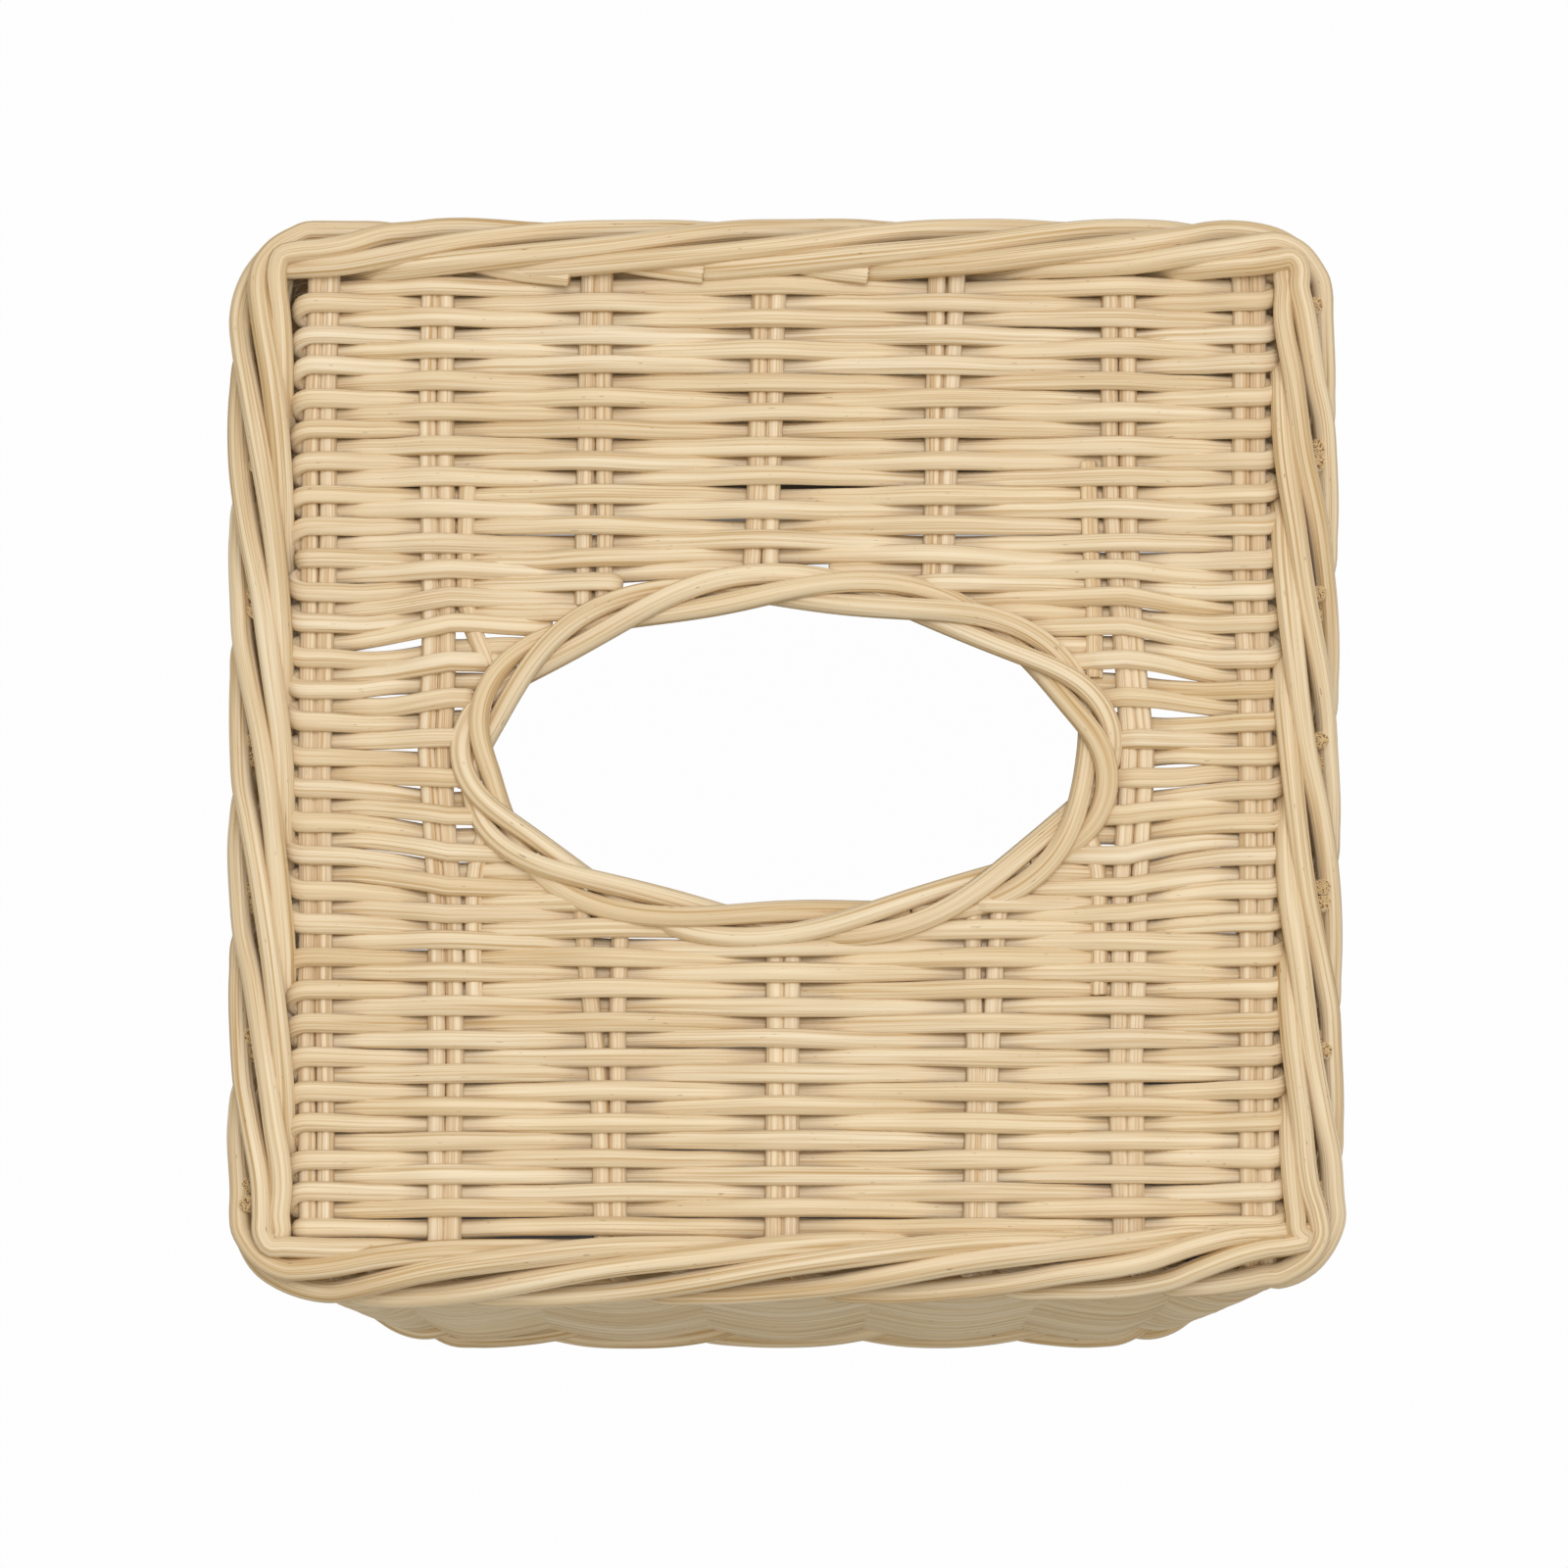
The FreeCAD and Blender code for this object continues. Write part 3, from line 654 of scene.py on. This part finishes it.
def ringEndOf(row, side):
    # on the left a cane that lies over its last stake turns down before the ring; the others run in under it
    y = float(rowBase[row] + pushedBy(np.array([side * fan["from"] / 2]), rowBase[row])[0])
    edge = float(ringEdgeX(min(abs(y) - underRing["nearer"], ringOuterY)))
    inward = underRing["in"] + underRing["further"] * (rowBase[row] / ringOuterY) ** 4
    high = topRow(row, side * (edge + 1), side * edge)[0][-1][2] > topZ + underRing["high"]
    curls = side < 0 and high
    return (side * (edge + underRing["before"]) if curls else side * (edge - inward)), curls


def tuckUnder(part, end):
    # the last few millimetres of a row go down under the ring
    line = part[0]
    share = np.clip(1 - np.abs(line[:, 0] - line[end, 0]) / underRing["tuck"], 0, 1)
    line[:, 2] += (topZ + underRing["drop"] - line[:, 2]) * share
    return line, part[1]


for side, name in ((-1, "left"), (1, "right")):
    hairpins = []
    for first in range(0, len(slotRows), 2):
        parts = []
        rng = np.random.default_rng([24, side + 1, first])
        for row in slotRows[first:first + 2]:
            inner, curls = ringEndOf(row, side)
            if parts:
                part = topRow(row, edgeEnd(row, side), inner)
                parts.append(hookOver(parts[-1][0][-1], part[0][0], side, topWeave["hook"]))
                parts.append(part if curls else tuckUnder(part, -1))
                if curls:
                    parts.append(curlDown(part, -side))
            else:
                part = topRow(row, inner, edgeEnd(row, side))
                if curls:
                    curl = curlDown((part[0][::-1], part[1]), -side)
                    parts.append((curl[0][::-1], curl[1]))
                parts.append(part if curls else tuckUnder(part, 0))
        line, press = joinRows(parts)
        hairpins.append(makeCane(line, "weaver", (0, 1, 0), rng, tint=rowTints(line, rng), press=press))
    addPiece("topWeavers" + name.title(), hairpins, weaverCane, "weaver_cane", "top_weavers_" + name)
print("top weave made")

# Weave of the walls: each round is one line, cut at the middles of the corners
wallRowZ = np.linspace(walls["lowest"], walls["highest"], walls["rows"])
wallRowZ = wallRowZ + np.random.default_rng(31).uniform(-walls["uneven"], walls["uneven"], walls["rows"])


def wallRow(wall, row):
    half = halfWalls[wall]
    u = np.linspace(-half, half, int(2 * half / walls["step"]) + 1)
    before = wall - 1
    after = (wall + 1) % 4
    places = np.concatenate([
        [-half - halfWalls[before] + wallPlaces[before][-1]],
        wallPlaces[wall],
        [half + halfWalls[after] + wallPlaces[after][0]],
    ])
    signs = [(-1) ** (k + row + wall * perSide) for k in range(-1, perSide + 1)]
    out, middle = waveOver(u, places, signs, walls["lift"], walls["steepness"])
    x, y = plan(wall, u, out, radiusAt(wallRowZ[row]))
    around = u + half + 2 * sum(halfWalls[:wall])
    rng = np.random.default_rng([32, row])
    z = wallRowZ[row] + roundWander(around, aroundAll, walls["drift"], 5, rng)
    tint = 0.5 + roundWander(around, aroundAll, walls["toneDrift"], 2, rng)
    tint = tint + rng.normal(0, walls["toneSpread"])
    return np.stack([x, y, z], axis=1), topWeave["press"] * middle, tint, around[0]


for wall, name in enumerate(wallNames):
    rows = []
    for row in range(walls["rows"]):
        line, press, tint, start = wallRow(wall, row)
        rng = np.random.default_rng([33, row])
        rows.append(makeCane(line, "weaver", (0, 0, 1), rng, sides=10, tint=tint, press=press, start=start))
    addPiece(name + "WallWeavers", rows, weaverCane, "weaver_cane", name + "_wall_weavers")
print("walls made")

# Ring round the slot: three canes laid like a rope, one after the other on a line of three laps
turnsPerLap = ring["lobes"] / 3
splices = [(2 * np.pi * n - np.pi / 2 - ring["phase"]) / turnsPerLap for n in ring["splices"]]
for strand in range(3):
    rng = np.random.default_rng([41, strand])
    first = splices[strand] + ring["spliceGap"]
    last = splices[strand + 1] - ring["spliceGap"]
    t = np.linspace(first, last, ring["points"])
    twist = turnsPerLap * t + ring["phase"]
    normal = np.stack([ring["middleY"] * np.cos(t), ring["middleX"] * np.sin(t)], axis=1)
    normal /= np.linalg.norm(normal, axis=1)[:, None]
    loose = wander(t * ring["driftScale"], ring["drift"], ring["driftPeriod"], rng)
    off = ring["twist"] * np.cos(twist) + loose
    x = ring["middleX"] * np.cos(t) + normal[:, 0] * off
    y = ring["shiftY"] + ring["middleY"] * np.sin(t) + normal[:, 1] * off
    z = topZ + ring["z"] + ring["rise"] * np.sin(twist)
    cane = makeCane(np.stack([x, y, z], axis=1), "ring", (0, 0, 1), rng, sides=16)
    node = "slot_ring_strand_%d" % (strand + 1)
    addPiece("slotRing.%d" % (strand + 1), [cane], edgeCane, "edge_cane", node)
print("ring made")

# Edge wale and base border: canes that go once round, from one pair of stakes to the next
stations = [(wall, u) for wall in range(4) for u in wallPlaces[wall]]
cornerShares = {0.17, 0.33, 0.5, 0.67, 0.83}  # a bay that turns a corner has these places too
roundEnd = 0.995  # a cane ends just before the place where it starts
edgeRun = {"half": 60.0, "leanTo": 66.0, "leanOver": 18.0, "tonePeriod": 60.0}


def betweenStations(station, share, out, z, look):
    # a place between one pair of stakes and the next, also round a corner
    radius = look["radius"] + look["rounder"] * out
    wall, u = stations[station % len(stations)]
    after, nextU = stations[(station + 1) % len(stations)]
    if after == wall:
        x, y = plan(wall, u + (nextU - u) * share, out, radius)
        return (float(x), float(y), z)
    first = halfWalls[wall] - u
    run = first + nextU + halfWalls[after]
    if run * share <= first:
        x, y = plan(wall, u + run * share, out, radius)
    else:
        x, y = plan(after, nextU - run * (1 - share), out, radius)
    return (float(x), float(y), z)


def standOut(station, look):
    # an edge may stand in or out along a wall, at a slant, and lean out away from the corners
    wall, u = stations[station % len(stations)]
    slant = look["slant"][wall] * u / edgeRun["half"]
    lean = look["lean"][wall] * np.clip((edgeRun["leanTo"] - abs(u)) / edgeRun["leanOver"], 0, 1)
    return look["shift"][wall] + slant + lean


def caneRound(firstStation, seats, baseZ, look, rng):
    # once round the cover; seats say what the cane does in each bay in turn, as (share, out, z)
    points = []
    for step in range(len(stations)):
        bay = seats[step % len(seats)]
        following = seats[(step + 1) % len(seats)]
        keys = list(bay) + [(1.0,) + tuple(following[0][1:])]
        station = firstStation + step
        turns = stations[station % len(stations)][0] != stations[(station + 1) % len(stations)][0]
        shares = [key[0] for key in keys[:-1]]
        if turns:
            shares = sorted(set(shares) | cornerShares)
        for share in shares:
            out = np.interp(share, [key[0] for key in keys], [key[1] for key in keys])
            z = np.interp(share, [key[0] for key in keys], [key[2] for key in keys])
            out = out + standOut(station, look) * (1 - share) + standOut(station + 1, look) * share
            slack = rng.normal(0, look["loose"], 2)
            points.append(betweenStations(station, share, out + slack[0], baseZ + z + slack[1], look))
    out, z = seats[0][0][1:]
    points.append(betweenStations(firstStation + len(stations) - 1, roundEnd, out, baseZ + z, look))
    return points


def laySet(name, node, kind, seats, look, seed):
    # a set of canes that follow each other, each one pair of stakes further on
    for strand in range(len(seats)):
        rng = np.random.default_rng([seed, strand])
        line = smoothPath(caneRound(strand, seats, look["z"], look, rng), look["step"])
        drift = wander(line[:, 0] + line[:, 1], look["toneDrift"], edgeRun["tonePeriod"], rng)
        cane = makeCane(line, kind, (0, 0, 1), rng, sides=look["sides"], tint=look["tone"] + drift)
        strandNode = "%s_%d" % (node, strand + 1)
        addPiece("%s.%d" % (name, strand + 1), [cane], edgeCane, "edge_cane", strandNode)


# Shift, slant and lean are given wall by wall: front, right, back, left
wale = {"z": topZ, "radius": 6.0, "rounder": 1.1, "shift": [0.0, -0.6, 0.0, 0.1],
        "slant": [-0.9, 0.1, 0.0, -0.8], "lean": [1.2, 0.0, 0.5, 0.0], "loose": 0.08, "step": 0.7,
        "sides": 14, "tone": 0.5, "toneDrift": 0.25}
waleSeats = [
    [(0.0, -2.6, -5.0), (0.12, 0.2, -4.8), (0.25, 1.7, -4.4), (0.5, 2.2, -3.2)],
    [(0.0, 2.0, -1.4), (0.25, 1.5, -0.1), (0.5, 0.6, 1.2)],
    [(0.0, -1.2, 2.7), (0.5, -2.5, 3.0)],
    [(0.0, -3.6, 2.6), (0.5, -3.9, 0.8)],
]
laySet("edgeWale", "edge_wale_strand", "edge", waleSeats, wale, 51)

border = {"z": 2.65, "radius": walls["baseRadius"], "rounder": 0.0, "shift": [0.0] * 4, "slant": [0.0] * 4,
          "lean": [0.0] * 4, "loose": 0.06, "step": 0.8, "sides": 12, "tone": 0.4, "toneDrift": 0.2}
borderSeats = [
    [(0.0, -2.3, 0.0), (0.3, 0.2, -0.8), (0.5, 1.3, -1.2), (0.7, 2.0, -0.7)],
    [(0.0, 2.3, 0.0), (0.3, 2.0, 0.7), (0.5, 1.3, 1.3), (0.7, 0.2, 0.8)],
]
laySet("baseBorder", "base_border_strand", "border", borderSeats, border, 52)
print("edge and border made")

# Stage: a white floor that keeps the shadow, and soft light from above and a little from behind
floorLook = {"size": 4.0, "drop": 0.0002, "glow": 0.985, "unlit": (0.25, 0.25, 0.25, 1)}
# The floor glows evenly white all round the cover. Under the cover the glow is cut off, which paints shade
# there, and a painted pool of light glows under the slot.
bright = {"from": 0.9, "to": 1.1, "squareness": 8.0}
# painted light: the pool of glow on the floor under the slot
paintedPool = {"middleY": 20.0, "halfX": 63.0, "halfY": 27.0, "fade": 1.35, "squareness": 4.0}
sky = {"overhead": 0.74, "horizon": 0.66, "highFrom": 0.8, "front": 0.85, "frontFrom": -0.9,
       "colour": (1.0, 0.95, 0.84, 1)}
keyLook = {"energy": 11.3, "size": 0.9, "colour": (0.96, 1.01, 1.16), "place": (0.22, 0.2, 1.7),
           "aim": (0, 0, 0.1)}


def makeFloor():
    mesh = bpy.data.meshes.new("floor")
    half = floorLook["size"] / 2
    corners = [(-half, -half, 0), (half, -half, 0), (half, half, 0), (-half, half, 0)]
    mesh.from_pydata(corners, [], [(0, 1, 2, 3)])
    floor = bpy.data.objects.new("floor", mesh)
    bpy.context.scene.collection.objects.link(floor)
    floor.location.z = -floorLook["drop"]
    material = bpy.data.materials.new("whiteFloor")
    material.use_nodes = True
    tree = material.node_tree
    tree.nodes.clear()
    path = addNode(tree, "ShaderNodeLightPath", (-600, 200))
    seen = addNode(tree, "ShaderNodeMath", (-400, 200), {"operation": "ADD", "use_clamp": True},
                   {0: path.outputs["Is Camera Ray"], 1: path.outputs["Is Glossy Ray"]})
    seenAll = addNode(tree, "ShaderNodeMath", (-200, 200), {"operation": "ADD", "use_clamp": True},
                      {0: seen.outputs[0], 1: path.outputs["Is Transmission Ray"]})
    place = addNode(tree, "ShaderNodeNewGeometry", (-1400, 500))

    def roundedBox(label, middleY, halfX, halfY, squareness, y):
        # below 1 inside a box with rounded corners, in plan
        moved = addNode(tree, "ShaderNodeVectorMath", (-1200, y), {"operation": "SUBTRACT", "label": label},
                        {0: place.outputs["Position"], 1: (0, middleY * mm, 0)})
        scaled = addNode(tree, "ShaderNodeVectorMath", (-1000, y), {"operation": "DIVIDE"},
                         {0: moved.outputs[0], 1: (halfX * mm, halfY * mm, 1)})
        parts = addNode(tree, "ShaderNodeSeparateXYZ", (-800, y), None, {0: scaled.outputs[0]})
        powers = [addNode(tree, "ShaderNodeMath", (-600, y - 150 * k), {"operation": "POWER"},
                          {0: parts.outputs[k], 1: squareness}) for k in range(2)]
        total = addNode(tree, "ShaderNodeMath", (-400, y), None,
                        {0: powers[0].outputs[0], 1: powers[1].outputs[0]})
        return total.outputs[0]

    # painted shade: inside the cover's footprint the floor's glow is cut off, so the floor shows dark there
    coverBox = roundedBox("outside", 0, lineX, lineY, bright["squareness"], 800)
    outside = addNode(tree, "ShaderNodeMapRange", (-200, 800), {"clamp": True},
                      {"Value": coverBox, "From Min": bright["from"], "From Max": bright["to"]})
    # painted light: a pool of glow on the floor under the slot, where light would fall through it
    paintedPoolBox = roundedBox("paintedPool", paintedPool["middleY"], paintedPool["halfX"], paintedPool["halfY"], paintedPool["squareness"], 500)
    inPaintedPool = addNode(tree, "ShaderNodeMapRange", (-200, 500), {"clamp": True},
                     {"Value": paintedPoolBox, "From Min": paintedPool["fade"] ** paintedPool["squareness"], "From Max": 1.0})
    # where the floor glows: evenly all round the cover, and in the painted pool of light under the slot; the
    # rest is painted shade
    paintedGlowMask = addNode(tree, "ShaderNodeMath", (0, 600), {"operation": "MAXIMUM"},
                  {0: outside.outputs["Result"], 1: inPaintedPool.outputs["Result"]})
    strength = addNode(tree, "ShaderNodeMath", (0, 400), {"operation": "MULTIPLY"},
                       {0: paintedGlowMask.outputs[0], 1: floorLook["glow"]})
    share = addNode(tree, "ShaderNodeMath", (0, 200), {"operation": "MULTIPLY"},
                    {0: seenAll.outputs[0], 1: strength.outputs[0]})
    # the plain dark grey floor shows where the glow is cut off, as painted shade under the cover
    plain = addNode(tree, "ShaderNodeBsdfDiffuse", (0, 0), None, {"Color": floorLook["unlit"]})
    glow = addNode(tree, "ShaderNodeEmission", (0, -150), None, {"Color": (1, 1, 1, 1), "Strength": 1.0})
    mixed = addNode(tree, "ShaderNodeMixShader", (200, 0), None,
                    {0: share.outputs[0], 1: plain.outputs[0], 2: glow.outputs[0]})
    addNode(tree, "ShaderNodeOutputMaterial", (400, 0), None, {"Surface": mixed.outputs[0]})
    mesh.materials.append(material)


def makeWorld():
    world = bpy.data.worlds.new("studio")
    bpy.context.scene.world = world
    world.use_nodes = True
    tree = world.node_tree
    tree.nodes.clear()
    path = addNode(tree, "ShaderNodeLightPath", (-400, 200))
    place = addNode(tree, "ShaderNodeTexCoord", (-900, 0))
    parts = addNode(tree, "ShaderNodeSeparateXYZ", (-700, 0), None, {0: place.outputs["Generated"]})
    # brighter overhead than at the horizon
    level = addNode(tree, "ShaderNodeMapRange", (-500, 0), {"clamp": True},
                    {"Value": parts.outputs["Z"], "From Min": 0.0, "From Max": sky["highFrom"],
                     "To Min": sky["horizon"], "To Max": sky["overhead"]})
    # and dimmer towards the front
    facing = addNode(tree, "ShaderNodeMapRange", (-500, -250), {"clamp": True},
                     {"Value": parts.outputs["Y"], "From Min": sky["frontFrom"], "From Max": 0.0,
                      "To Min": sky["front"]})
    lightLevel = addNode(tree, "ShaderNodeMath", (-300, -100), {"operation": "MULTIPLY"},
                         {0: level.outputs["Result"], 1: facing.outputs["Result"]})
    dim = addNode(tree, "ShaderNodeBackground", (-100, 0), None,
                  {"Color": sky["colour"], "Strength": lightLevel.outputs[0]})
    white = addNode(tree, "ShaderNodeBackground", (-100, -150), None,
                    {"Color": (1, 1, 1, 1), "Strength": 1.0})
    mixed = addNode(tree, "ShaderNodeMixShader", (150, 0), None,
                    {0: path.outputs["Is Camera Ray"], 1: dim.outputs[0], 2: white.outputs[0]})
    addNode(tree, "ShaderNodeOutputWorld", (350, 0), None, {"Surface": mixed.outputs[0]})


def makeKeyLight():
    lamp = bpy.data.lights.new("keyLight", "AREA")
    lamp.energy = keyLook["energy"]
    lamp.size = keyLook["size"]
    lamp.color = keyLook["colour"]
    holder = bpy.data.objects.new("keyLight", lamp)
    bpy.context.scene.collection.objects.link(holder)
    holder.location = keyLook["place"]
    downwards = Vector(keyLook["aim"]) - Vector(keyLook["place"])
    holder.rotation_euler = downwards.to_track_quat("-Z", "Y").to_euler()


makeFloor()
makeWorld()
makeKeyLight()

# Camera: almost straight above, a little towards the front
cameraLook = {"aim": (-0.4, -4.7, 133.0), "distance": 830.0, "elevation": 81.5, "lens": 147.0, "sensor": 36.0}
camera = bpy.data.cameras.new("camera")
camera.lens = cameraLook["lens"]
camera.sensor_width = cameraLook["sensor"]
holder = bpy.data.objects.new("camera", camera)
bpy.context.scene.collection.objects.link(holder)
tilt = math.radians(cameraLook["elevation"])
aim = Vector(cameraLook["aim"]) * mm
holder.location = aim + Vector((0, -math.cos(tilt), math.sin(tilt))) * cameraLook["distance"] * mm
holder.rotation_euler = (aim - holder.location).to_track_quat("-Z", "Y").to_euler()
bpy.context.scene.camera = holder
bpy.context.scene.view_settings.view_transform = "Standard"
print("stage made")
